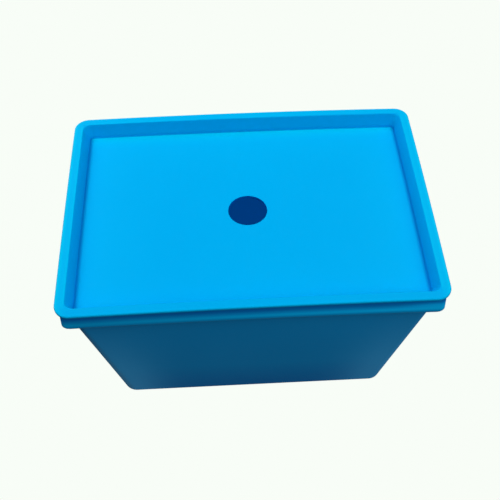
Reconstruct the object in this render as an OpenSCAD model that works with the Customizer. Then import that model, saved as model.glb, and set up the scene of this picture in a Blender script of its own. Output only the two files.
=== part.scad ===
// Silicone soap mould: a deep drafted tub with a thick band round its mouth, and a plug-in
// pouring lid. Millimetres. The origin is the middle of the base, on the table, +Z up,
// +X along the length.
//
// Both pieces are one-shot mouldings. Each one is lofted as a single skin through level
// rounded rectangles, from the middle of its underside, out and up its outside, over its
// rim and down its inside. A level is [inset, corner radius, height]: the inset is how far
// the outline lies inside the largest outline of the mould.

/* [Overall size] */
// Length of the closed mould, over the lid's rim
mould_l = 260; // [200:1:340]
// Width of the closed mould, over the lid's rim
mould_w = 186; // [150:1:260]
// Height of the closed mould, from the table to the top of the lid's rim
mould_h = 150; // [90:1:220]
// Plan radius of the lid's outer corners
corner_r = 10.5; // [9:0.5:24]

/* [Tub] */
// Thickness of the four walls, measured level
wall_t = 3; // [2.4:0.1:5]
// Thickness of the floor
floor_t = 4; // [3:0.1:8]
// Draft of the four walls from upright, in degrees
wall_draft = 8.6; // [5:0.1:11]
// Plan radius of the tub's outer corners at its base
base_corner_r = 10; // [8:0.5:18]
// Fillet where the walls turn into the base, outside
base_fillet = 3; // [2:0.1:5]
// Fillet where the walls turn into the floor, inside
floor_fillet = 3; // [1:0.1:5]

/* [Band] */
// Height of the thick band round the mouth
band_h = 16.9; // [12:0.1:22]
// How far the band's lower edge stands proud of the wall below it
band_reach = 5.3; // [4:0.1:8]
// Lean of the band's outer face, outwards going down, in degrees
band_lean = 4; // [0:0.5:8]
// Plan radius of the band's corners at its lower edge
band_corner_r = 4; // [3:0.5:12]
// Rounding of the band's lower edge
band_edge_r = 4.4; // [0.5:0.1:6]
// Rounding of the band's upper edge, under the rim
band_lip_r = 0.8; // [0.3:0.1:1.2]
// Fillet in the corner under the band
band_fillet = 0.5; // [0.3:0.1:2]

/* [Lid] */
// Width of the flat rim
rim_w = 6.6; // [5:0.1:10]
// Height of the rim's outer edge
rim_h = 2.6; // [2.2:0.1:5]
// How far the rim overhangs the band's lower edge
rim_overhang = 2.2; // [0.5:0.1:3]
// Rounding of the rim's upper outer edge
rim_round = 1; // [0.4:0.1:1.3]
// Rounding of the rim's lower outer edge
rim_lower_round = 1.2; // [0.4:0.1:1.3]
// Rounding of the rim's inner edge, at the top of the recess
rim_inner_round = 0.8; // [0.3:0.1:1.5]
// Depth of the recessed panel under the top of the rim
recess_depth = 10.5; // [8:0.1:16]
// Slope of the plug's walls from upright, in degrees
plug_slope = 22.3; // [20:0.1:35]
// Thickness of the plug's walls, measured level
plug_wall = 2.2; // [1.8:0.1:3.5]
// Rounding of the plug's lower edge
plug_round = 1.2; // [0.5:0.1:2]
// Thickness of the panel
panel_t = 2.4; // [2:0.1:5]
// Plan radius of the recess's corners at the top of the rim
recess_mouth_r = 6; // [4:0.5:9]
// Plan radius of the recess's corners at the panel
recess_corner_r = 3; // [2:0.5:6]
// Fillet where the recess's walls turn into the panel
recess_fillet = 1; // [0.5:0.1:3]
// Diameter of the pouring hole
fill_hole_d = 28; // [12:1:60]

/* [Fit] */
// Clearance between the lid and the tub, under the rim and round the plug
seat_gap = 0.3; // [0.2:0.05:0.8]

/* [Hidden] */
silicone_blue = [0.00, 0.55, 0.90];
tub_blue = [0.02, 0.42, 0.66];
corner_steps = 10; // chords in each rounded corner
arc_steps = 6;     // chords in each fillet or rounded edge
least_r = 0.6;     // smallest plan radius a corner is let down to
least_flat = 0.1;  // narrowest flat left under the band
cut = 1;           // how far a cutter runs past the faces it opens

// Heights, from the table up
band_top = mould_h - rim_h - seat_gap;
band_bottom = band_top - band_h;
panel_top = mould_h - recess_depth;
panel_bottom = panel_top - panel_t;

// Slopes, as inset gained for each millimetre down
wall_slope = tan(wall_draft);
plug_run = tan(plug_slope);

// Insets of the sloping faces at a height
function band_face(z) = rim_overhang + tan(band_lean) * (z - band_bottom);
function wall_outside(z) = rim_overhang + band_reach + wall_slope * (band_bottom - z);
function wall_inside(z) = wall_outside(z) + wall_t;
function recess_face(z) = rim_w + plug_run * (mould_h - z);
function plug_face(z) = recess_face(z) - plug_wall;
function seat_face(z) = plug_face(z) - seat_gap;

// Height at which the flared seat meets the drafted cavity
seat_bottom = min(
    (seat_face(0) - wall_inside(0)) / (plug_run - wall_slope),
    band_top - cut / 2
);

// Plan radii. The band's corners are concentric. The plug round the recess, the seat and the
// tub's walls follow from the recess by their thicknesses.
function band_r(inset) = band_corner_r + rim_overhang - inset;
function recess_r(z) = let(up = (z - panel_top) / recess_depth)
    max(recess_corner_r + (recess_mouth_r - recess_corner_r) * up, least_r);
function plug_r(z) = recess_r(z) + plug_wall;
function seat_r(z) = plug_r(z) + seat_gap;
function tub_r(z) = let(top_r = seat_r(seat_bottom) + wall_t)
    base_corner_r + (top_r - base_corner_r) * z / seat_bottom;

// Roundings, as far as their walls leave room for them
rim_nose = min(rim_round, rim_h / 2);
rim_heel = min(rim_lower_round, rim_h / 2);
band_nose = min(
    band_edge_r,
    (band_reach - band_fillet - least_flat) * cos(band_lean) / (1 + sin(band_lean)),
    band_h / 2
);

// Levels along an arc in the section: centre [inset, z], radius r, from angle a to angle b.
// An angle of 0 points away from the mould's middle and 90 points up. plan_r gives the plan
// radius at the arc's centre, which the arc's own reach then changes.
function arc(inset, z, r, a, b, plan_r) = [
    for (i = [0 : arc_steps]) let(t = a + (b - a) * i / arc_steps)
        [inset - r * cos(t), max(plan_r + r * cos(t), least_r), z + r * sin(t)]
];

// Points of one level: four corner arcs, anticlockwise seen from above
function outline(level) = let(
    r = level[1],
    x = mould_l / 2 - level[0] - r,
    y = mould_w / 2 - level[0] - r
) [
    for (corner = [0 : 3], i = [0 : corner_steps]) let(
        t = 90 * (corner + i / corner_steps),
        sx = corner == 0 || corner == 3 ? 1 : -1,
        sy = corner < 2 ? 1 : -1
    ) [sx * x + r * cos(t), sy * y + r * sin(t), level[2]]
];

// One closed skin through the levels, capped level at its first and its last outline
module loft(levels) {
    n = 4 * (corner_steps + 1);
    last = len(levels) - 1;
    points = [for (level = levels) each outline(level)];
    sides = [
        for (k = [0 : last - 1], i = [0 : n - 1]) let(
            a = k * n + i, b = k * n + (i + 1) % n
        ) each [[a, b + n, b], [a, a + n, b + n]]
    ];
    bottom = [for (i = [0 : n - 1]) i];
    top = [for (i = [n - 1 : -1 : 0]) last * n + i];
    polyhedron(points = points, faces = concat([bottom], sides, [top]), convexity = 6);
}

// Tub outside, up to the corner under the band
function tub_outside() = let(
    z = base_fillet,
    top_z = band_bottom - band_fillet,
    level_r = base_fillet / cos(wall_draft)
) concat(
    arc(wall_outside(z) + level_r, z, base_fillet, -90, -wall_draft, tub_r(z) - level_r),
    [[wall_outside(top_z), tub_r(top_z), top_z]]
);

// Band: flat underside, rounded lower edge, leaning face and rounded lip under the rim
function band_outside() = let(
    root = wall_outside(band_bottom) - band_fillet,
    edge_z = band_bottom + band_nose,
    lip_z = band_top - band_lip_r,
    edge = band_face(edge_z) + band_nose / cos(band_lean),
    lip = band_face(lip_z) + band_lip_r / cos(band_lean)
) concat(
    [[root, tub_r(band_bottom), band_bottom]],
    arc(edge, edge_z, band_nose, -90, band_lean, band_r(edge)),
    arc(lip, lip_z, band_lip_r, band_lean, 90, band_r(lip))
);

// Mouth and cavity: flared seat for the plug, drafted walls, filleted floor
function cavity() = let(
    z = floor_t + floor_fillet,
    level_r = floor_fillet / cos(wall_draft)
) concat(
    [
        [seat_face(band_top), seat_r(band_top), band_top],
        [seat_face(seat_bottom), tub_r(seat_bottom) - wall_t, seat_bottom]
    ],
    arc(
        wall_inside(z) + level_r, z, floor_fillet, -wall_draft, -90,
        tub_r(z) - wall_t - level_r
    )
);

module mould_body() {
    color(tub_blue) loft(concat(tub_outside(), band_outside(), cavity()));
}

// Plug: rounded lower edge and sloping outer face, up to the corner under the rim
function plug_outside() = let(
    z = panel_bottom + plug_round,
    level_r = plug_round / cos(plug_slope),
    root = mould_h - rim_h
) concat(
    arc(plug_face(z) + level_r, z, plug_round, -90, -plug_slope, plug_r(z) - level_r),
    [[plug_face(root), plug_r(root), root]]
);

// Rim: underside, rounded outer edge, flat top and rounded inner edge
function rim() = let(
    lip = rim_w - rim_inner_round,
    lip_z = mould_h - rim_inner_round
) concat(
    arc(rim_heel, mould_h - rim_h + rim_heel, rim_heel, -90, 0, corner_r - rim_heel),
    arc(rim_nose, mould_h - rim_nose, rim_nose, 0, 90, corner_r - rim_nose),
    [
        [lip, recess_mouth_r + rim_inner_round, mould_h],
        [recess_face(lip_z), recess_r(lip_z), lip_z]
    ]
);

// Recess: sloping inner face and fillet into the panel
function recess() = let(
    z = panel_top + recess_fillet,
    level_r = recess_fillet / cos(plug_slope)
) arc(
    recess_face(z) + level_r, z, recess_fillet, -plug_slope, -90,
    recess_r(z) - level_r
);

module lid() {
    color(silicone_blue) difference() {
        loft(concat(plug_outside(), rim(), recess()));
        translate([0, 0, panel_bottom - cut])
            cylinder(d = fill_hole_d, h = panel_t + 2 * cut, $fn = 96);
    }
}

mould_body();
lid();
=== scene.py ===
"""Silicone soap mould with a plug-in pouring lid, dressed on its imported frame.

The mould is two soft mouldings. Each one is a single closed skin: a section, drawn as a
chain of straight runs with rounded corners, is carried round a rounded rectangle. Lengths
are in metres and match the CAD frame: the origin is the middle of the base, +Z is up and
+X runs along the length.
"""

import logging
import math
from collections.abc import Sequence
from dataclasses import dataclass, field
from enum import Enum
from functools import partial

import bpy
import numpy as np
from mathutils import Matrix, Vector

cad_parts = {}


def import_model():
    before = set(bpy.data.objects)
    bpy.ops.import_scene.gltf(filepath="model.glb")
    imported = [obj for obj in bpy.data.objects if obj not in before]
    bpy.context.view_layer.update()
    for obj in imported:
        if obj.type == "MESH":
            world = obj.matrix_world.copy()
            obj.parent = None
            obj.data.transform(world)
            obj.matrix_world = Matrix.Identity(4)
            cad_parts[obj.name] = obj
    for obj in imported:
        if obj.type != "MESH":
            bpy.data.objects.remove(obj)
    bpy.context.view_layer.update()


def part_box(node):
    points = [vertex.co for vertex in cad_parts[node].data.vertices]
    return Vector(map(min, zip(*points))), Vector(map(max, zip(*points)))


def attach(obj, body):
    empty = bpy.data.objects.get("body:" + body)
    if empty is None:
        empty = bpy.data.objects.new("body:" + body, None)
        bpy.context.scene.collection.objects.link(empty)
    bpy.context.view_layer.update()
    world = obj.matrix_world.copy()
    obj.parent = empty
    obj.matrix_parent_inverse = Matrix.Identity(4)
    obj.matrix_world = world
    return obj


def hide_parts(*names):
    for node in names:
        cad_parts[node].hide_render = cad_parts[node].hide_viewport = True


log = logging.getLogger("soap_mould")
MM = 0.001
# Masks of painted light and shade: painted highlight, painted glow, painted shade and painted
# light on the walls' upright corners.
MASKS = ("edge", "inside", "shade", "corner")
SIZES = 3  # columns of a level that come before its masks
LEVEL = 0.05 * MM  # heights closer than this count as the same
Colour = tuple[float, float, float, float]
BLACK: Colour = (0.0, 0.0, 0.0, 1.0)
BLUE: Colour = (0.0, 0.4, 0.9, 1.0)


class Slot(Enum):
    """The record's material slots."""

    TUB = "tub_silicone"
    LID = "lid_silicone"


class Body(Enum):
    """The CAD bodies that pieces ride on."""

    TUB = "mould"
    LID = "lid"


# ---------------------------------------------------------------- shapes


@dataclass
class Corner:
    """One corner of a section, before it is rounded.

    inset is how far it lies inside the mould's largest outline, height is above the table,
    plan_r is the plan radius of its level, and round_r is its own rounding in the section,
    drawn in a number of steps. The masks run from 0 to 1, and more than 1 counts as 1. All
    four are painted light and shade: edge is a painted highlight where light catches thin,
    rounded silicone and lit faces, inside a painted glow that stands in for light coming
    through the silicone and bouncing into hollows, shade painted shade and shadow in
    creases, gaps and under the rim, and corner painted light where light comes through
    the upright corners of the walls.
    """

    inset: float
    height: float
    plan_r: float
    round_r: float = 0.0
    edge: float = 0.0
    inside: float = 0.0
    shade: float = 0.0
    corner: float = 0.0
    steps: int = 8

    def row(self) -> np.ndarray:
        """The corner as one level: inset, height, plan radius and the masks."""
        masks = [getattr(self, name) for name in MASKS]
        return np.array([self.inset, self.height, self.plan_r, *masks])


def eased(count: int) -> np.ndarray:
    """Fractions between 0 and 1, both left out, that crowd towards both ends.

    The fraction is (1 - cos(pi k / count)) / 2 for k from 1 to count - 1.

    Args:
        count: Number of spans between the ends.

    Returns:
        An array of count - 1 fractions.
    """
    return (1 - np.cos(np.pi * np.arange(1, count) / count)) / 2


def rounded_chain(corners: Sequence[Corner], span: float) -> np.ndarray:
    """Levels along a chain of straight runs whose corners are rounded.

    At a corner the two runs turn by an angle a, so an arc of radius r leaves each run at
    r tan(a / 2) from the corner. Its centre stands r along the inner normal, and its points
    swing from the first run's normal to the second's. The plan radius is blended along each
    run and each arc. The masks are blended along a run and stay the corner's along an arc.

    Args:
        corners: The corners, in order. The first and the last stay as they are.
        span: Longest step along a straight run.

    Returns:
        An array of levels: inset, height, plan radius and the masks.
    """
    rows = [corner.row() for corner in corners]
    levels = [rows[0][None]]
    leave = rows[0]
    for before, corner, after, here in zip(rows, corners[1:], rows[2:], rows[1:]):
        into, out = here[:2] - before[:2], after[:2] - here[:2]
        reach_in, reach_out = np.hypot(*into), np.hypot(*out)
        into, out = into / reach_in, out / reach_out
        turn = math.atan2(into[0] * out[1] - into[1] * out[0], into @ out)
        cut = corner.round_r * math.tan(abs(turn) / 2)
        start = here + (before - here) * cut / reach_in
        end = here + (after - here) * cut / reach_out
        start[SIZES:] = end[SIZES:] = here[SIZES:]
        levels += [straight(leave, start, span), start[None]]
        if corner.round_r > 0:
            side = math.copysign(corner.round_r, turn)
            normal = np.array([-into[1], into[0]]) * side
            share = np.linspace(0, 1, corner.steps + 1)[1:, None]
            swing = share * turn
            spoke = -normal
            turned = np.hstack(
                [
                    spoke[0] * np.cos(swing) - spoke[1] * np.sin(swing),
                    spoke[0] * np.sin(swing) + spoke[1] * np.cos(swing),
                ]
            )
            arc = start + (end - start) * share
            arc[:, :2] = start[:2] + normal + turned
            levels.append(arc)
        leave = end
    levels += [straight(leave, rows[-1], span), rows[-1][None]]
    return np.vstack(levels)


def straight(first: np.ndarray, last: np.ndarray, span: float) -> np.ndarray:
    """Levels between two levels, both left out, crowded towards both ends.

    Args:
        first: Level that the run starts from.
        last: Level that it ends at.
        span: Longest step wanted, within bounds on the number of steps.

    Returns:
        An array of levels, none where the run is very short.
    """
    short, fewest, most = 0.3 * MM, 3, 40
    length = float(np.hypot(*(last - first)[:2]))
    count = min(max(math.ceil(length / span), fewest), most) if length > short else 1
    return first + (last - first) * eased(count)[:, None]


@dataclass
class Plan:
    """The mould's largest outline, a rounded rectangle seen from above.

    half_x and half_y are its half sizes, and corner_cols and side_cols the columns of
    vertices in each corner and each side. near_reach is how far along a side its corners
    still tell, and slump how far the soft mould hangs at its four corners.

    For each column, signs is the pair of signs of its corner, spokes the unit direction
    from its corner's centre, and near its nearness to a corner, from 0 to 1.
    """

    half_x: float
    half_y: float
    corner_cols: int = 18
    side_cols: int = 36
    near_reach: float = 34 * MM
    slump: float = 1.6 * MM
    signs: np.ndarray = field(init=False)
    spokes: np.ndarray = field(init=False)
    near: np.ndarray = field(init=False)

    def __post_init__(self) -> None:
        """Works out what each column needs to know.

        Nearness falls off as exp(-(d / reach)^2), d being the way to the nearer corner.
        """
        corners = np.array([[1, 1], [-1, 1], [-1, -1], [1, -1]], float)
        along = eased(self.side_cols)[:, None]
        signs, spokes, near = [], [], []
        for k in range(4):
            turn = np.radians(90 * (k + np.linspace(0, 1, self.corner_cols + 1)))
            here, there = corners[k], corners[(k + 1) % 4]
            signs += [np.repeat(here[None], len(turn), 0), here + (there - here) * along]
            swing = np.concatenate([turn, np.full(len(along), turn[-1])])
            spokes.append(np.stack([np.cos(swing), np.sin(swing)], -1))
            way = 2 * (self.half_y if k % 2 else self.half_x) * along[:, 0]
            way = np.minimum(way, way[::-1]) / self.near_reach
            near += [np.ones(len(turn)), np.exp(-(way**2))]
        self.signs, self.spokes = np.vstack(signs), np.vstack(spokes)
        self.near = np.concatenate(near)

    def share(self, way: tuple[float, float]) -> np.ndarray:
        """Each column's share in the side that faces a way.

        It is the square of the column's spoke along that way, or 0 where the spoke points
        against it.

        Args:
            way: Unit direction, seen from above.

        Returns:
            One share for each column.
        """
        return np.clip(self.spokes @ np.array(way), 0, 1) ** 2

    def slumped(self, grid: np.ndarray, full: float) -> np.ndarray:
        """Points let down towards the outline's four corners, as soft silicone hangs.

        With u and v the shares of the half sizes and h the share of the full height, at
        most 1, a point drops by slump u^2 v^2 h.

        Args:
            grid: Points of shape (rings, columns, 3).
            full: Height from which on the drop is whole.

        Returns:
            The moved points, of the same shape.
        """
        u, v = grid[..., 0] / self.half_x, grid[..., 1] / self.half_y
        moved = grid.copy()
        moved[..., 2] -= self.slump * (u * v) ** 2 * np.clip(grid[..., 2] / full, 0, 1)
        return moved

    def rings(self, levels: np.ndarray) -> np.ndarray:
        """The rings of points that the levels make.

        A column's point is its corner centre, at the half size less inset and plan radius,
        plus the plan radius along its spoke. A column on a straight side takes a corner
        centre blended between the side's two.

        Args:
            levels: Rows of inset, height, plan radius and masks.

        Returns:
            An array of shape (levels, columns, 3).
        """
        inset, height, radius = levels[:, :SIZES].T[:, :, None, None]
        half = np.array([self.half_x, self.half_y])
        flat = self.signs * (half - inset - radius) + self.spokes * radius
        height = np.broadcast_to(height, flat.shape[:2] + (1,))
        return np.concatenate([flat, height], -1)

    def masks(self, levels: np.ndarray) -> dict[str, np.ndarray]:
        """The masks of each point, which are its level's own.

        Args:
            levels: Rows of inset, height, plan radius and masks.

        Returns:
            Values of shape (levels, columns), by the name of their mask.
        """
        return dict(zip(MASKS, levels[:, SIZES:].T[:, :, None] * np.ones(len(self.near))))


def ruled(first: np.ndarray, last: np.ndarray, shares: np.ndarray) -> np.ndarray:
    """Rings blended straight from one ring to another.

    Args:
        first: Ring of shape (columns, 3).
        last: Ring of the same shape.
        shares: Fractions of the way.

    Returns:
        An array of shape (shares, columns, 3).
    """
    return first + (last - first) * shares[:, None, None]


def closed_skin(
    name: str, rings: np.ndarray, masks: dict[str, np.ndarray], looped: bool
) -> bpy.types.Object:
    """A closed mesh through rings of points.

    Neighbouring rings are joined by quads all the way round. The first and the last ring
    are joined to each other if the skin is looped, and otherwise each one is closed by a
    fan of triangles to its own middle. The faces are turned over if the signed volume, the
    sum of each quad's first corner dotted with its area vector, comes out negative.

    Args:
        name: Name of the object and its mesh.
        rings: Points of shape (rings, columns, 3).
        masks: Values of shape (rings, columns), by the name of their attribute.
        looped: True where the last ring joins the first.

    Returns:
        The new object, smooth shaded and linked to the scene.
    """
    count, cols = rings.shape[:2]
    points = rings.reshape(-1, 3)
    index = np.arange(count * cols).reshape(count, cols)
    rows = np.vstack([index, index[:1]]) if looped else index
    low, high = rows[:-1], rows[1:]
    quads = np.stack([low, np.roll(low, -1, 1), np.roll(high, -1, 1), high], -1)
    quads = quads.reshape(-1, 4)
    fans = np.empty((0, 3), int)
    if not looped:
        points = np.vstack([points, rings[0].mean(0), rings[-1].mean(0)])
        middles = np.repeat([[count * cols], [count * cols + 1]], cols, 1)
        foot, top = index[0], index[-1]
        fans = np.vstack(
            [
                np.stack([middles[0], np.roll(foot, -1), foot], -1),
                np.stack([middles[1], top, np.roll(top, -1)], -1),
            ]
        )
    a, b, c, d = points[quads.T]
    volume = np.einsum("ij,ij->", a, np.cross(c - a, d - b))
    if volume < 0:
        quads, fans = quads[:, ::-1], fans[:, ::-1]
    mesh = bpy.data.meshes.new(name)
    mesh.from_pydata(points.tolist(), [], quads.tolist() + fans.tolist())
    for key, values in masks.items():
        ends = [] if looped else [values[0].mean(), values[-1].mean()]
        layer = mesh.attributes.new(key, "FLOAT", "POINT")
        layer.data.foreach_set("value", np.append(values, ends).astype(np.float32))
    mesh.shade_smooth()
    mesh.validate()
    mesh.update()
    piece = bpy.data.objects.new(name, mesh)
    bpy.context.scene.collection.objects.link(piece)
    return piece


# ---------------------------------------------------------------- finishes


def new_node(tree: bpy.types.NodeTree, kind: str, **settings: object) -> bpy.types.Node:
    """A node with some of its settings and input values given.

    Args:
        tree: Tree that takes the node.
        kind: The node's type name without its ShaderNode prefix.
        **settings: Properties by name, and inputs as in_NAME with _ for a space.

    Returns:
        The new node.
    """
    node = tree.nodes.new("ShaderNode" + kind)
    for key, value in settings.items():
        if key.startswith("in_"):
            node.inputs[key[3:].replace("_", " ")].default_value = value
        else:
            setattr(node, key, value)
    return node


class NodeGroup:
    """A shader node group in the making, with named sockets.

    tree is the group itself. given holds the sockets that its nodes read from, and out
    those that its results go to.
    """

    def __init__(
        self,
        name: str,
        inputs: dict[str, float | Colour],
        outputs: dict[str, type] | None = None,
    ) -> None:
        """Starts the group.

        Args:
            name: Name of the group.
            inputs: Value that each input starts with, by name, a number or a colour.
            outputs: float or tuple for each output, by name. Without them, the group has
                one colour output, Colour.
        """
        self.tree = bpy.data.node_groups.new(name, "ShaderNodeTree")
        for key, value in inputs.items():
            self._socket(key, type(value), "INPUT").default_value = value
        for key, kind in (outputs or {"Colour": tuple}).items():
            self._socket(key, kind, "OUTPUT")
        self.given = self.tree.nodes.new("NodeGroupInput").outputs
        self.out = self.tree.nodes.new("NodeGroupOutput").inputs

    def _socket(self, name: str, kind: type, way: str) -> bpy.types.NodeTreeInterfaceSocket:
        """Adds a colour socket if kind is tuple, and otherwise one for a number."""
        shape = "NodeSocketColor" if kind is tuple else "NodeSocketFloat"
        return self.tree.interface.new_socket(name, in_out=way, socket_type=shape)

    def link(self, source: bpy.types.NodeSocket, target: bpy.types.NodeSocket) -> None:
        """Links two sockets."""
        self.tree.links.new(source, target)

    def noise(self, scale: str, detail: float) -> bpy.types.NodeSocket:
        """A noise texture on Object coordinates.

        Args:
            scale: Name of the input that sets the pattern's scale, per metre.
            detail: Number of finer layers.

        Returns:
            The pattern's value.
        """
        coords = new_node(self.tree, "TexCoord")
        noise = new_node(self.tree, "TexNoise", in_Detail=detail)
        self.link(coords.outputs["Object"], noise.inputs["Vector"])
        self.link(self.given[scale], noise.inputs["Scale"])
        return noise.outputs["Fac"]

    def ranged(self, value: bpy.types.NodeSocket, **bounds: float) -> bpy.types.NodeSocket:
        """A value that is carried from one range to another.

        Args:
            value: The value.
            **bounds: Ends of the ranges, as in_From_Min and so on. Each range runs from 0
                to 1 where they say nothing else.

        Returns:
            The value in the new range.
        """
        node = new_node(self.tree, "MapRange", **bounds)
        self.link(value, node.inputs["Value"])
        return node.outputs["Result"]

    def product(
        self, first: bpy.types.NodeSocket, second: bpy.types.NodeSocket
    ) -> bpy.types.NodeSocket:
        """The product of two values.

        Args:
            first: One value.
            second: The other value.

        Returns:
            The product.
        """
        node = new_node(self.tree, "Math", operation="MULTIPLY")
        self.link(first, node.inputs[0])
        self.link(second, node.inputs[1])
        return node.outputs[0]

    def total(
        self,
        first: bpy.types.NodeSocket,
        second: bpy.types.NodeSocket,
        added: bpy.types.NodeSocket,
    ) -> bpy.types.NodeSocket:
        """The product of two values plus a third.

        Args:
            first: One value of the product.
            second: The other.
            added: Value that is added to it.

        Returns:
            The sum.
        """
        node = new_node(self.tree, "Math", operation="MULTIPLY_ADD")
        for socket, value in zip(node.inputs, (first, second, added)):
            self.link(value, socket)
        return node.outputs[0]

    def blend(
        self,
        share: bpy.types.NodeSocket,
        first: bpy.types.NodeSocket | Colour,
        second: bpy.types.NodeSocket,
    ) -> bpy.types.NodeSocket:
        """A colour between two.

        Args:
            share: Share of the second, of which more than 1 counts as 1.
            first: Colour where the share is 0, or the socket that gives it.
            second: Colour where the share is 1.

        Returns:
            The blended colour.
        """
        mix = new_node(self.tree, "Mix", data_type="RGBA")
        self.link(share, mix.inputs["Factor"])
        if isinstance(first, tuple):
            mix.inputs["A"].default_value = first
        else:
            self.link(first, mix.inputs["A"])
        self.link(second, mix.inputs["B"])
        return mix.outputs["Result"]


class SiliconeEffects:
    """Node groups that both silicone finishes share, built once each."""

    def __init__(self) -> None:
        """Builds the five groups."""
        self.mottle = self._mottle()
        self.tint = self._tint()
        self.skin = self._skin()
        self.film = self._film()
        self.glow = self._glow()

    @staticmethod
    def _mottle() -> bpy.types.NodeTree:
        """Slow, faint change of tone, as pigment takes unevenly in a thick casting.

        Returns:
            The group.
        """
        group = NodeGroup(
            "silicone_mottle", {"Colour": BLUE, "Deep": BLUE, "Scale": 14.0, "Amount": 0.3}
        )
        given = group.given
        level = group.ranged(group.noise("Scale", 2.0), in_From_Min=0.35, in_From_Max=0.65)
        share = group.product(level, given["Amount"])
        group.link(group.blend(share, given["Colour"], given["Deep"]), group.out["Colour"])
        return group.tree

    @staticmethod
    def _tint() -> bpy.types.NodeTree:
        """A second colour as painted highlight and shade, laid slightly unevenly by a mask.

        Returns:
            The group.
        """
        group = NodeGroup(
            "silicone_painted_light_shade", {"Colour": BLUE, "Tint": BLUE, "Mask": 0.0, "Scale": 60.0}
        )
        given = group.given
        level = group.ranged(group.noise("Scale", 2.0), in_To_Min=0.85, in_To_Max=1.1)
        share = group.product(given["Mask"], level)
        group.link(group.blend(share, given["Colour"], given["Tint"]), group.out["Colour"])
        return group.tree

    @staticmethod
    def _skin() -> bpy.types.NodeTree:
        """The matt skin that the casting tool leaves: fine grain over slow waviness.

        Returns:
            The group.
        """
        group = NodeGroup(
            "silicone_skin",
            {
                "Grain Scale": 1800.0,
                "Grain": 0.2,
                "Wave Scale": 16.0,
                "Wave": 1.0,
                "Roughness": 0.45,
                "Roughness Spread": 0.1,
            },
            {"Height": float, "Roughness": float},
        )
        given = group.given
        grain = group.noise("Grain Scale", 1.0)
        wave = group.noise("Wave Scale", 1.0)
        fine = group.product(grain, given["Grain"])
        group.link(group.total(wave, given["Wave"], fine), group.out["Height"])
        centred = new_node(group.tree, "Math", operation="SUBTRACT")
        centred.inputs[1].default_value = 0.5
        group.link(wave, centred.inputs[0])
        rough = group.total(centred.outputs[0], given["Roughness Spread"], given["Roughness"])
        group.link(rough, group.out["Roughness"])
        return group.tree

    @staticmethod
    def _film() -> bpy.types.NodeTree:
        """A trace of pale release powder on faces that look up.

        Returns:
            The group.
        """
        group = NodeGroup(
            "silicone_powder_film",
            {"Colour": BLUE, "Film": (0.4, 0.7, 1.0, 1.0), "Scale": 220.0, "Amount": 0.003},
        )
        given = group.given
        level = group.ranged(group.noise("Scale", 3.0), in_From_Min=0.5, in_From_Max=0.8)
        faces = new_node(group.tree, "NewGeometry")
        split = new_node(group.tree, "SeparateXYZ")
        group.link(faces.outputs["Normal"], split.inputs[0])
        up = group.ranged(split.outputs["Z"], in_From_Min=0.2)
        share = group.product(group.product(level, up), given["Amount"])
        group.link(group.blend(share, given["Colour"], given["Film"]), group.out["Colour"])
        return group.tree

    @staticmethod
    def _glow() -> bpy.types.NodeTree:
        """Painted glow, emitted for light that comes through the silicone to enclosed
        faces and upright corners.

        Returns:
            The group.
        """
        group = NodeGroup(
            "silicone_glow",
            {"Glow": BLACK, "Inside": 0.0, "Corner Glow": BLACK, "Corner": 0.0},
        )
        given = group.given
        within = group.blend(given["Inside"], BLACK, given["Glow"])
        both = group.blend(given["Corner"], within, given["Corner Glow"])
        group.link(both, group.out["Colour"])
        return group.tree


@dataclass(frozen=True)
class SiliconeFinish:
    """Satin, deeply coloured silicone.

    Colours are linear. edge is the painted highlight colour, paler where light catches
    thin rounded silicone, shade the painted shade colour of creases, gaps and shadows,
    glow the painted glow, emitted for light that comes through the walls to enclosed
    faces, and corner_glow the painted light, emitted for light that comes through their
    upright corners.
    """

    name: str
    colour: Colour
    deep: Colour
    edge: Colour
    shade: Colour
    glow: Colour = BLACK
    corner_glow: Colour = BLACK
    roughness: float = 0.42
    specular: float = 0.12
    specular_tint: Colour = (0.0, 0.55, 1.0, 1.0)
    mottle: float = 0.35
    grain: float = 0.25
    wave: float = 1.0
    bump: float = 0.25
    bump_depth: float = 0.4 * MM

    def make(self, effects: SiliconeEffects) -> bpy.types.Material:
        """Builds the material.

        Args:
            effects: The node groups that it places.

        Returns:
            The material.
        """
        material = bpy.data.materials.new(self.name)
        material.use_nodes = True
        tree = material.node_tree
        tree.nodes.clear()
        link = tree.links.new
        out = new_node(tree, "OutputMaterial")
        shader = new_node(
            tree,
            "BsdfPrincipled",
            in_Specular_IOR_Level=self.specular,
            in_Specular_Tint=self.specular_tint,
            in_Emission_Strength=1.0,
        )
        link(shader.outputs[0], out.inputs["Surface"])
        mask = {
            key: new_node(tree, "Attribute", attribute_name=key).outputs["Fac"]
            for key in MASKS
        }
        place = partial(new_node, tree, "Group")
        mottle = place(
            node_tree=effects.mottle,
            in_Colour=self.colour,
            in_Deep=self.deep,
            in_Amount=self.mottle,
        )
        # painted highlight and painted shade, laid into the base colour by their masks
        edge = place(node_tree=effects.tint, in_Tint=self.edge)
        shade = place(node_tree=effects.tint, in_Tint=self.shade)
        film = place(node_tree=effects.film)
        skin = place(
            node_tree=effects.skin,
            in_Grain=self.grain,
            in_Wave=self.wave,
            in_Roughness=self.roughness,
        )
        # painted glow, put in as emission
        glow = place(
            node_tree=effects.glow, in_Glow=self.glow, in_Corner_Glow=self.corner_glow
        )
        link(mask["edge"], edge.inputs["Mask"])
        link(mask["shade"], shade.inputs["Mask"])
        link(mask["inside"], glow.inputs["Inside"])
        link(mask["corner"], glow.inputs["Corner"])
        for first, second in ((mottle, edge), (edge, shade), (shade, film)):
            link(first.outputs["Colour"], second.inputs["Colour"])
        link(film.outputs["Colour"], shader.inputs["Base Color"])
        link(skin.outputs["Roughness"], shader.inputs["Roughness"])
        link(glow.outputs["Colour"], shader.inputs["Emission Color"])
        bump = new_node(tree, "Bump", in_Strength=self.bump, in_Distance=self.bump_depth)
        link(skin.outputs["Height"], bump.inputs["Height"])
        link(bump.outputs["Normal"], shader.inputs["Normal"])
        return material


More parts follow.
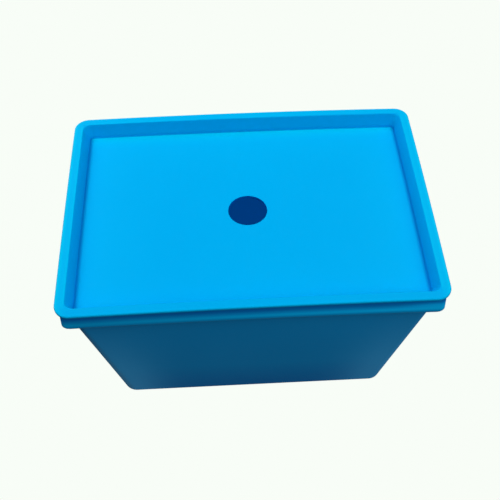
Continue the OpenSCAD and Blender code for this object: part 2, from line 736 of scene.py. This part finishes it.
TUB_SILICONE = SiliconeFinish(
    name="tub_silicone",
    colour=(0.0, 0.36, 0.86, 1.0),
    deep=(0.0, 0.33, 0.81, 1.0),
    # edge, shade, glow and corner_glow: painted highlight, painted shade and painted glow colours
    edge=(0.0, 0.49, 1.0, 1.0),
    shade=(0.0, 0.10, 0.54, 1.0),
    glow=(0.0, 0.061, 0.125, 1.0),
    corner_glow=(0.012, 0.039, 0.056, 1.0),
    specular=0.05,
)
LID_SILICONE = SiliconeFinish(
    name="lid_silicone",
    colour=(0.0, 0.445, 0.92, 1.0),
    deep=(0.0, 0.42, 0.89, 1.0),
    # edge and shade: painted highlight and painted shade colours
    edge=(0.0, 0.76, 1.0, 1.0),
    shade=(0.0, 0.12, 0.55, 1.0),
    specular=0.04,
)


def dressed(
    piece: bpy.types.Object, material: bpy.types.Material, body: Body, node: str
) -> bpy.types.Object:
    """A finished piece with its material, its body and the node it stands for.

    Args:
        piece: The piece.
        material: Its finish.
        body: The CAD body that it rides on.
        node: The CAD node that it replaces.

    Returns:
        The same piece.
    """
    piece.data.materials.append(material)
    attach(piece, body.value)
    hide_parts(node)
    return piece


# ---------------------------------------------------------------- the mould


@dataclass
class FittedSizes:
    """Sizes that the tub and the lid share, so that they seat as the CAD pieces do."""

    top: float
    corner_r: float = 10.5 * MM
    rim_w: float = 6.6 * MM
    rim_h: float = 2.6 * MM
    recess_depth: float = 10.5 * MM
    plug_run: float = math.tan(math.radians(22.3))
    plug_wall: float = 2.2 * MM
    recess_mouth_r: float = 6.0 * MM
    recess_corner_r: float = 3.0 * MM
    panel_t: float = 2.4 * MM
    seat_gap: float = 0.3 * MM

    @property
    def panel_top(self) -> float:
        """Height of the panel's upper face."""
        return self.top - self.recess_depth

    def recess_face(self, height: float) -> float:
        """Inset of the recess's sloping face at a height."""
        return self.rim_w + self.plug_run * (self.top - height)

    def recess_r(self, height: float) -> float:
        """Plan radius of the recess at a height."""
        up = (height - self.panel_top) / self.recess_depth
        return self.recess_corner_r + (self.recess_mouth_r - self.recess_corner_r) * up


@dataclass
class BandedTub:
    """The deep drafted tub, with a thick band round its mouth.

    waist is the share of the walls' height up to which painted light stands in for light
    coming well through their corners. crest and gloom are shares of the band's height, up
    from its lower edge: where its painted highlight is palest and where the rim's painted
    shadow sets in. cavity_light is the painted glow for light that comes through to the
    cavity.
    """

    plan: Plan
    fit: FittedSizes
    wall_t: float = 3.0 * MM
    floor_t: float = 4.0 * MM
    draft: float = math.tan(math.radians(8.6))
    base_corner_r: float = 10.0 * MM
    base_fillet: float = 3.0 * MM
    floor_fillet: float = 3.0 * MM
    overhang: float = 2.2 * MM
    band_h: float = 17.5 * MM
    band_reach: float = 5.3 * MM
    band_lean: float = math.tan(math.radians(4.0))
    band_corner_r: float = 4.0 * MM
    band_edge_r: float = 4.4 * MM
    band_lip_r: float = 0.8 * MM
    band_fillet: float = 0.5 * MM
    seat_lip_r: float = 0.7 * MM
    seat_foot_r: float = 3.0 * MM
    flat_run: float = 14.0 * MM
    flat_r: float = 4.0 * MM
    waist: float = 0.36
    crest: float = 0.4
    gloom: float = 0.68
    cavity_light: float = 0.45
    span: float = 6.0 * MM

    @property
    def top(self) -> float:
        """Height of the band's upper edge, which lies under the lid's rim."""
        return self.fit.top - self.fit.rim_h - self.fit.seat_gap

    def wall_face(self, height: float) -> float:
        """Inset of the walls' outer face at a height."""
        band_bottom = self.top - self.band_h
        return self.overhang + self.band_reach + self.draft * (band_bottom - height)

    def band_corner(self, share: float, **looks: float) -> Corner:
        """A corner on the band's leaning face.

        Args:
            share: Share of the band's height, up from its lower edge.
            **looks: Rounding and masks of the corner.

        Returns:
            The corner.
        """
        rise = self.band_h * share
        lean = self.band_lean * rise
        inset, height = self.overhang + lean, self.top - self.band_h + rise
        return Corner(inset, height, self.band_corner_r - lean, **looks)

    def corners(self) -> list[Corner]:
        """Corners of the section, from under the base, up the outside and down inside.

        The seat for the plug runs down to the height where it meets the drafted cavity.

        Returns:
            The corners, in order.
        """
        fit, top, wall, light = self.fit, self.top, self.wall_t, self.cavity_light
        under = top - self.band_h
        seat = fit.recess_face(top) - fit.plug_wall - fit.seat_gap
        seat_r = fit.recess_r(top) + fit.plug_wall + fit.seat_gap
        meet = top - (self.wall_face(top) + wall - seat) / (fit.plug_run - self.draft)
        meet_in = self.wall_face(meet) + wall
        meet_r = fit.recess_r(meet) + fit.plug_wall + fit.seat_gap
        base_in, base_r = self.wall_face(0), self.base_corner_r
        waist_r = base_r + (meet_r + wall - base_r) * self.waist
        waist = self.waist * under
        floor, floor_in, floor_r = self.floor_t, self.wall_face(self.floor_t) + wall, base_r - wall
        run, less = self.flat_run, self.flat_r
        return [
            Corner(base_in + run, 0, base_r - less),
            # painted shade at the walls' foot, painted light on their upright corners
            Corner(base_in, 0, base_r, self.base_fillet, shade=0.5, corner=1),
            Corner(self.wall_face(waist), waist, waist_r, corner=0.8),
            Corner(self.wall_face(under), under, meet_r + wall, self.band_fillet),
            # painted highlight on the band's nose and crest, painted shadow of the rim from gloom
            # up to the lip, painted glow on the band
            self.band_corner(0, round_r=self.band_edge_r, edge=0.3),
            self.band_corner(self.crest, edge=1, inside=1),
            self.band_corner(self.gloom, inside=0.25, shade=0.62),
            self.band_corner(1, round_r=self.band_lip_r, inside=0.4, shade=1),
            # painted highlight on the seat, painted glow in the cavity
            Corner(seat, top, seat_r, self.seat_lip_r, edge=0.6, inside=0.2),
            Corner(meet_in, meet, meet_r, self.seat_foot_r, inside=light),
            Corner(floor_in, floor, floor_r, self.floor_fillet, inside=light),
            Corner(floor_in + run, floor, floor_r - less, inside=light),
        ]

    def build(self, effects: SiliconeEffects) -> bpy.types.Object:
        """Builds the tub's closed skin and dresses it.

        Base and floor are blended from their first and last level to a small ring at the
        middle, which the skin closes with a fan. The top's four corners hang a little.

        Args:
            effects: The node groups of its finish.

        Returns:
            The tub.
        """
        levels = rounded_chain(self.corners(), self.span)
        rings = self.plan.rings(levels)
        shares = np.array([0.0, 0.3, 0.6, 0.85, 0.97])
        foot = ruled(self._heart(rings[0]), rings[0], shares)
        floor = ruled(rings[-1], self._heart(rings[-1]), 1 - shares[::-1])
        levels = np.pad(levels, ((len(foot), len(floor)), (0, 0)), mode="edge")
        grid = np.concatenate([foot, rings, floor])
        masks = self._tones(grid, levels)
        grid = self.plan.slumped(grid, self.fit.top - self.band_h)
        piece = closed_skin("tub", grid, masks, False)
        return dressed(piece, TUB_SILICONE.make(effects), Body.TUB, "mould_body")

    def _tones(self, grid: np.ndarray, levels: np.ndarray) -> dict[str, np.ndarray]:
        """The masks of each point: those of its level, changed by where it stands.

        With n a column's nearness to a corner, the painted corner light is multiplied by
        n, and the walls lose a share 0.6 n of their painted shade. With u the place along
        the length, from -1 to 1, the band keeps the share 0.55 + 0.65 u of its painted
        glow, held between 0 and 1. From pale_top up, that share goes on to 1 at the
        mould's top, and the band's right end lies free of the rim's painted shadow: with
        h the rise above pale_top as a share of free_rise, a share n^2.5 u (1 - h^2) of
        the painted shade gives way to painted highlight and strong painted glow.

        Args:
            grid: Points of shape (rings, columns, 3).
            levels: The level of each ring.

        Returns:
            Values of shape (rings, columns), by the name of their mask.
        """
        walls_top = 0.8 * self.fit.top
        pale_top = self.fit.top - 0.7 * self.band_h
        free_rise = 0.32 * self.band_h
        strong = 1.8
        near, height = self.plan.near, grid[..., 2]
        masks = self.plan.masks(levels)
        masks["corner"] *= near
        masks["shade"] *= np.where(height < walls_top, 1 - 0.6 * near, 1)
        along = grid[..., 0] / self.plan.half_x
        light = np.clip(0.55 + 0.65 * along, 0, 1)
        light += (1 - light) * np.clip((height - pale_top) / (self.fit.top - pale_top), 0, 1)
        band = (levels[:, 0] < self.overhang + self.band_reach)[:, None]
        masks["inside"] *= np.where(band, light, 1)
        rise = (height - pale_top) / free_rise
        free = near**2.5 * np.clip(along, 0, 1) * (1 - np.clip(rise, 0, 1) ** 2)
        free = np.where(band & (rise > 0), free, 0)
        masks["shade"] *= 1 - free
        masks["inside"] += (strong - masks["inside"]) * free
        masks["edge"] += (1 - masks["edge"]) * free
        return masks

    @staticmethod
    def _heart(ring: np.ndarray) -> np.ndarray:
        """A small copy of a ring at its middle, which a fan closes."""
        small = 0.02
        return ring.mean(0) + (ring - ring.mean(0)) * small


@dataclass
class PouringLid:
    """The plug-in lid: flat rim, sloping plug walls and a sunk panel with a hole.

    knee is how high above the panel the recess's walls turn a little steeper, and knee_run
    by how much. sag is how far the panel's middle hangs. taper is the share by which the
    soft lid is narrower at the middle of its length than at its left end.
    """

    plan: Plan
    fit: FittedSizes
    rim_round: float = 1.0 * MM
    rim_lower_round: float = 1.2 * MM
    rim_inner_round: float = 0.9 * MM
    neck_fillet: float = 0.4 * MM
    plug_round: float = 1.2 * MM
    knee: float = 2.2 * MM
    knee_run: float = 0.3 * MM
    knee_round: float = 2.0 * MM
    recess_fillet: float = 0.7 * MM
    crease_run: float = 2.5 * MM
    panel_run: float = 14.0 * MM
    under_run: float = 9.0 * MM
    under_r: float = 3.0 * MM
    hole_r: float = 14.0 * MM
    hole_round: float = 0.35 * MM
    sag: float = 0.5 * MM
    taper: float = 0.0045
    span: float = 3.0 * MM
    panel_rings: int = 18
    bore_rings: int = 3
    lip_rings: int = 5

    def corners(self) -> list[Corner]:
        """Corners of the section, from under the panel, round the rim and back in.

        Returns:
            The corners, in order.
        """
        fit = self.fit
        low, root = fit.panel_top - fit.panel_t, fit.top - fit.rim_h
        plug = fit.recess_face(low) - fit.plug_wall
        plug_r = fit.recess_r(low) + fit.plug_wall
        neck = fit.recess_face(root) - fit.plug_wall
        neck_r = fit.recess_r(root) + fit.plug_wall
        sunk, sunk_r = fit.recess_face(fit.panel_top), fit.recess_corner_r
        knee, knee_in = fit.panel_top + self.knee, sunk - self.knee_run
        return [
            Corner(plug + self.under_run, low, plug_r - self.under_r),
            Corner(plug, low, plug_r, self.plug_round),
            Corner(neck, root, neck_r, self.neck_fillet, steps=4),
            # painted shade under the rim and down the recess's walls to its crease, painted
            # highlight along the rim's edges
            Corner(0, root, fit.corner_r, self.rim_lower_round, shade=0.3),
            Corner(0, fit.top, fit.corner_r, self.rim_round, edge=0.4),
            Corner(0.5 * fit.rim_w, fit.top, 0.7 * fit.corner_r, edge=0.15),
            Corner(fit.rim_w, fit.top, fit.recess_mouth_r, self.rim_inner_round, edge=0.25),
            Corner(knee_in, knee, fit.recess_r(knee), self.knee_round, shade=0.3),
            Corner(sunk, fit.panel_top, sunk_r, self.recess_fillet, shade=0.6),
            Corner(sunk + self.crease_run, fit.panel_top, sunk_r),
            Corner(sunk + self.panel_run, fit.panel_top, sunk_r),
        ]

    def build(self, effects: SiliconeEffects) -> bpy.types.Object:
        """Builds the lid's closed skin, which loops through the hole, and dresses it.

        The panel's rings are blended from the rounded rectangle to the hole's circle. A
        column's place on the circle is the direction of its end on the rectangle. The
        hole's lips are quarter turns, and its wall carries painted shade as dark as a
        crease's. Being soft, the lid is narrower towards its right end by twice the taper,
        and its four corners hang a little.

        Args:
            effects: The node groups of its finish.

        Returns:
            The lid.
        """
        fit, lip = self.fit, self.hole_round
        levels = rounded_chain(self.corners(), self.span)
        rings = self.plan.rings(levels)
        under, over = rings[0], rings[-1]
        low, high = under[0, 2], over[0, 2]
        turn = np.radians(np.linspace(90, 0, self.lip_rings))
        lips = np.stack([self.hole_r + lip - lip * np.cos(turn), lip * np.sin(turn) - lip], -1)
        upper = [self._circle(over, r, high + z) for r, z in lips]
        lower = [self._circle(under, r, low - z) for r, z in lips[::-1]]
        mouth = self._circle(over, self.hole_r, high - lip)
        bore = ruled(mouth, lower[0], eased(self.bore_rings))
        panel = ruled(over, upper[0], eased(self.panel_rings))
        ceiling = ruled(lower[-1], under, eased(self.panel_rings))
        grid = np.concatenate([rings, panel, upper, bore, lower, ceiling])
        grid = self._sagged(grid, low - 2 * LEVEL, high + 2 * LEVEL)
        grid[..., 1] *= 1 - self.taper * (1 + grid[..., 0] / self.plan.half_x)
        levels = np.pad(levels, ((0, len(grid) - len(levels)), (0, 0)))
        masks = self._tones(grid, levels)
        # painted shade down the hole's wall
        lip_middle = len(rings) + len(panel) + self.lip_rings // 2
        masks["shade"][lip_middle : len(grid) - len(ceiling)] = 1
        grid = self.plan.slumped(grid, fit.panel_top - fit.panel_t)
        piece = closed_skin("pouring_lid", grid, masks, True)
        return dressed(piece, LID_SILICONE.make(effects), Body.LID, "lid")

    def _tones(self, grid: np.ndarray, levels: np.ndarray) -> dict[str, np.ndarray]:
        """The masks of each point: those of its level, changed by where it stands.

        On the rim the painted highlight is strongest at the short sides and weakest in
        front, where the flat top has a trace of painted shade. The recess's short walls
        keep their painted shade, and its back wall has a slight, even one. On the panel the
        painted highlight falls off as exp(-g / 5 mm) with the gap g to the back wall, and a
        faint share as exp(-(w / 30 mm)^2) with the gap w to the nearest of the back and side
        walls, left out by exp(-w / 5 mm) close to them.

        Args:
            grid: Points of shape (rings, columns, 3).
            levels: The level of each ring.

        Returns:
            Values of shape (rings, columns), by the name of their mask.
        """
        fade, halo_reach, face_depth = 5 * MM, 30 * MM, 1.5 * MM
        fit, plan = self.fit, self.plan
        rear, front = plan.share((0, 1)), plan.share((0, -1))
        flank = plan.share((1, 0)) + plan.share((-1, 0))
        masks = plan.masks(levels)
        x, y, z = np.abs(grid[..., 0]), grid[..., 1], grid[..., 2]
        sunk = fit.recess_face(fit.panel_top)
        within = (x < plan.half_x - fit.rim_w) & (np.abs(y) < plan.half_y - fit.rim_w)
        within &= z > fit.panel_top - face_depth
        panel = within & (z < fit.panel_top + LEVEL)
        back_gap = np.clip(plan.half_y - sunk - y, 0, None)
        gap = np.minimum(np.clip(plan.half_x - sunk - x, 0, None), back_gap)
        # painted highlight: on the panel near the walls, and on the rim, strongest at the short
        # sides
        halo = 0.06 * np.exp(-((gap / halo_reach) ** 2)) * (1 - np.exp(-gap / fade))
        pale = np.maximum(0.75 * np.exp(-back_gap / fade), halo)
        rim = masks["edge"] * (0.25 + 0.75 * flank + 0.3 * rear)
        masks["edge"] = np.where(within, np.where(panel, pale, 0), rim)
        # painted shade: on the recess's walls and along the rim's front
        walls = masks["shade"] * flank + 0.13 * rear * ~panel
        outside = masks["shade"] + 0.07 * front * (z > fit.top - LEVEL)
        masks["shade"] = np.where(within, walls, outside)
        return masks

    @staticmethod
    def _circle(ring: np.ndarray, radius: float, height: float) -> np.ndarray:
        """A circle at a height, whose points stand in the directions of a ring's.

        Args:
            ring: Points of shape (columns, 3).
            radius: The circle's radius.
            height: Its height.

        Returns:
            Points of the same shape.
        """
        turn = np.arctan2(ring[:, 1], ring[:, 0])
        flat = radius * np.stack([np.cos(turn), np.sin(turn)], -1)
        return np.column_stack([flat, np.full(len(ring), height)])

    def _sagged(self, grid: np.ndarray, low: float, high: float) -> np.ndarray:
        """The grid with its panel let down a little.

        With u and v the shares of the panel's half sizes, at most 1, a point drops by sag
        (1 - u^2)^2 (1 - v^2)^2.

        Args:
            grid: Points of shape (rings, columns, 3).
            low: Height that the panel lies above.
            high: Height that it lies below.

        Returns:
            The moved points, of the same shape.
        """
        inner = self.fit.recess_face(self.fit.panel_top)
        u = np.clip(grid[..., 0] / (self.plan.half_x - inner), -1, 1)
        v = np.clip(grid[..., 1] / (self.plan.half_y - inner), -1, 1)
        drop = self.sag * (1 - u**2) ** 2 * (1 - v**2) ** 2
        panel = (grid[..., 2] > low) & (grid[..., 2] < high)
        moved = grid.copy()
        moved[..., 2] -= np.where(panel, drop, 0)
        return moved


# ---------------------------------------------------------------- studio


@dataclass(frozen=True)
class Softbox:
    """A square studio light that is aimed at the mould.

    azimuth goes round from the front towards the right, and elevation up from the level,
    both in degrees.
    """

    name: str
    azimuth: float
    elevation: float
    power: float
    size: float = 0.5
    distance: float = 1.4

    def hang(self, aim: Vector) -> bpy.types.Object:
        """Puts the light in the scene.

        Args:
            aim: Point that it faces.

        Returns:
            The light.
        """
        data = bpy.data.lights.new(self.name, "AREA")
        data.shape = "SQUARE"
        data.size, data.energy = self.size, self.power
        light = bpy.data.objects.new(self.name, data)
        turn, rise = math.radians(self.azimuth), math.radians(self.elevation)
        flat = math.cos(rise)
        back = Vector((flat * math.sin(turn), -flat * math.cos(turn), math.sin(rise)))
        light.matrix_world = Matrix.Translation(aim + back * self.distance) @ (
            back.to_track_quat("Z", "Y").to_matrix().to_4x4()
        )
        light.visible_camera = False
        bpy.context.scene.collection.objects.link(light)
        return light


@dataclass
class Studio:
    """Pale floor and surround, soft lights and the camera.

    length and top are the mould's own. azimuth, elevation and roll turn the camera, in
    radians. Its distance, the place it aims at and the floor's half size are in lengths of
    the mould, its focal length is in widths of its sensor, and clip holds the distances
    that it sees between. ambient, bounce and glossy are how strongly the surround lights,
    the floor lights and the surround is mirrored. floor_drop is how far the floor lies
    under the mould, and light_height the share of its height that the softboxes face.
    """

    length: float
    top: float
    pale: Colour = (0.939, 0.983, 0.930, 1.0)
    azimuth: float = math.radians(-2.476)
    elevation: float = math.radians(51.506)
    roll: float = math.radians(-0.598)
    focal: float = 1.6176
    distance: float = 2.1124
    aim_x: float = -0.0023
    aim_y: float = -0.1753
    clip: tuple[float, float] = (0.01, 50.0)
    ambient: float = 0.005
    bounce: float = 0.115
    glossy: float = 0.1
    floor_half: float = 20.0
    floor_drop: float = 0.2 * MM
    light_height: float = 0.8
    softboxes: tuple[Softbox, ...] = (
        Softbox("back_right_softbox", 135, 55, 2.7, distance=0.95),
        Softbox("back_left_softbox", 225, 36, 2.8, distance=0.95),
        Softbox("left_softbox", 270, 55, 5.6),
        Softbox("front_left_softbox", 315, 55, 1.6),
        Softbox("front_right_softbox", 45, 55, 3.2),
        Softbox("low_right_softbox", 45, 35, 4.6),
    )

    def camera(self) -> bpy.types.Object:
        """Puts the camera in the scene and makes it the scene's own.

        It stands a multiple of the mould's length from a point level with the rim. Its
        back, right and up axes come from azimuth and elevation and are then rolled.

        Returns:
            The camera.
        """
        sin_a, cos_a = math.sin(self.azimuth), math.cos(self.azimuth)
        sin_e, cos_e = math.sin(self.elevation), math.cos(self.elevation)
        back = Vector((sin_a * cos_e, -cos_a * cos_e, sin_e))
        right = Vector((cos_a, sin_a, 0))
        up = back.cross(right)
        across = right * math.cos(self.roll) + up * math.sin(self.roll)
        along = up * math.cos(self.roll) - right * math.sin(self.roll)
        aim = Vector((self.aim_x * self.length, self.aim_y * self.length, self.top))
        data = bpy.data.cameras.new("camera")
        data.lens = self.focal * data.sensor_width
        data.clip_start, data.clip_end = self.clip
        camera = bpy.data.objects.new("camera", data)
        axes = Matrix((across, along, back)).transposed().to_4x4()
        place = aim + back * self.distance * self.length
        camera.matrix_world = Matrix.Translation(place) @ axes
        bpy.context.scene.collection.objects.link(camera)
        bpy.context.scene.camera = camera
        return camera

    def floor(self) -> bpy.types.Object:
        """Lays the pale floor, plain to the camera and dimmer as light.

        Returns:
            The floor.
        """
        half = self.floor_half * self.length
        square = np.array([[-1, -1], [1, -1], [1, 1], [-1, 1]]) * half
        points = np.column_stack([square, np.full(len(square), -self.floor_drop)])
        mesh = bpy.data.meshes.new("floor")
        mesh.from_pydata(points.tolist(), [], [list(range(len(square)))])
        floor = bpy.data.objects.new("floor", mesh)
        bpy.context.scene.collection.objects.link(floor)
        material = bpy.data.materials.new("pale_floor")
        material.use_nodes = True
        tree = material.node_tree
        tree.nodes.clear()
        out = new_node(tree, "OutputMaterial")
        path = new_node(tree, "LightPath")
        seen = new_node(tree, "Emission", in_Color=self.pale, in_Strength=1.0)
        matt = new_node(tree, "Emission", in_Strength=self.bounce)
        mixed = self._either(tree, path.outputs["Is Camera Ray"], matt, seen)
        tree.links.new(mixed.outputs[0], out.inputs["Surface"])
        mesh.materials.append(material)
        return floor

    def surround(self) -> bpy.types.World:
        """Makes the world: pale to the camera, softer in reflections, dim as light.

        Returns:
            The world.
        """
        world = bpy.data.worlds.new("surround")
        bpy.context.scene.world = world
        world.use_nodes = True
        tree = world.node_tree
        tree.nodes.clear()
        out = new_node(tree, "OutputWorld")
        path = new_node(tree, "LightPath")
        strengths = (1.0, self.ambient, self.glossy)
        seen, light, shine = (
            new_node(tree, "Background", in_Color=self.pale, in_Strength=strength)
            for strength in strengths
        )
        unseen = self._either(tree, path.outputs["Is Glossy Ray"], light, shine)
        mixed = self._either(tree, path.outputs["Is Camera Ray"], unseen, seen)
        tree.links.new(mixed.outputs[0], out.inputs["Surface"])
        return world

    @staticmethod
    def _either(
        tree: bpy.types.NodeTree,
        share: bpy.types.NodeSocket,
        first: bpy.types.Node,
        second: bpy.types.Node,
    ) -> bpy.types.Node:
        """A shader that is one of two.

        Args:
            tree: Tree that takes the node.
            share: 0 for the first shader and 1 for the second.
            first: The first shader.
            second: The second shader.

        Returns:
            The mixing node.
        """
        mix = new_node(tree, "MixShader")
        for socket, value in zip(mix.inputs, (share, first.outputs[0], second.outputs[0])):
            tree.links.new(value, socket)
        return mix

    def light(self) -> None:
        """Hangs the softboxes and sets plain display colours."""
        aim = Vector((0, 0, self.light_height * self.top))
        for box in self.softboxes:
            box.hang(aim)
        bpy.context.scene.view_settings.view_transform = "Standard"


def main() -> None:
    """Builds the mould on its frame, then the studio, and keeps both boxes' sizes."""
    logging.basicConfig(level=logging.INFO, format="%(name)s %(message)s")
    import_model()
    low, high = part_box("lid")
    plan = Plan(half_x=(high[0] - low[0]) / 2, half_y=(high[1] - low[1]) / 2)
    fit = FittedSizes(top=high[2])
    effects = SiliconeEffects()

    for maker in (BandedTub(plan, fit), PouringLid(plan, fit)):
        piece = maker.build(effects)
        log.info("%s: %d faces", piece.name, len(piece.data.polygons))

    studio = Studio(length=high[0] - low[0], top=high[2])
    studio.camera()
    studio.floor()
    studio.surround()
    studio.light()


if __name__ == "__main__":
    main()
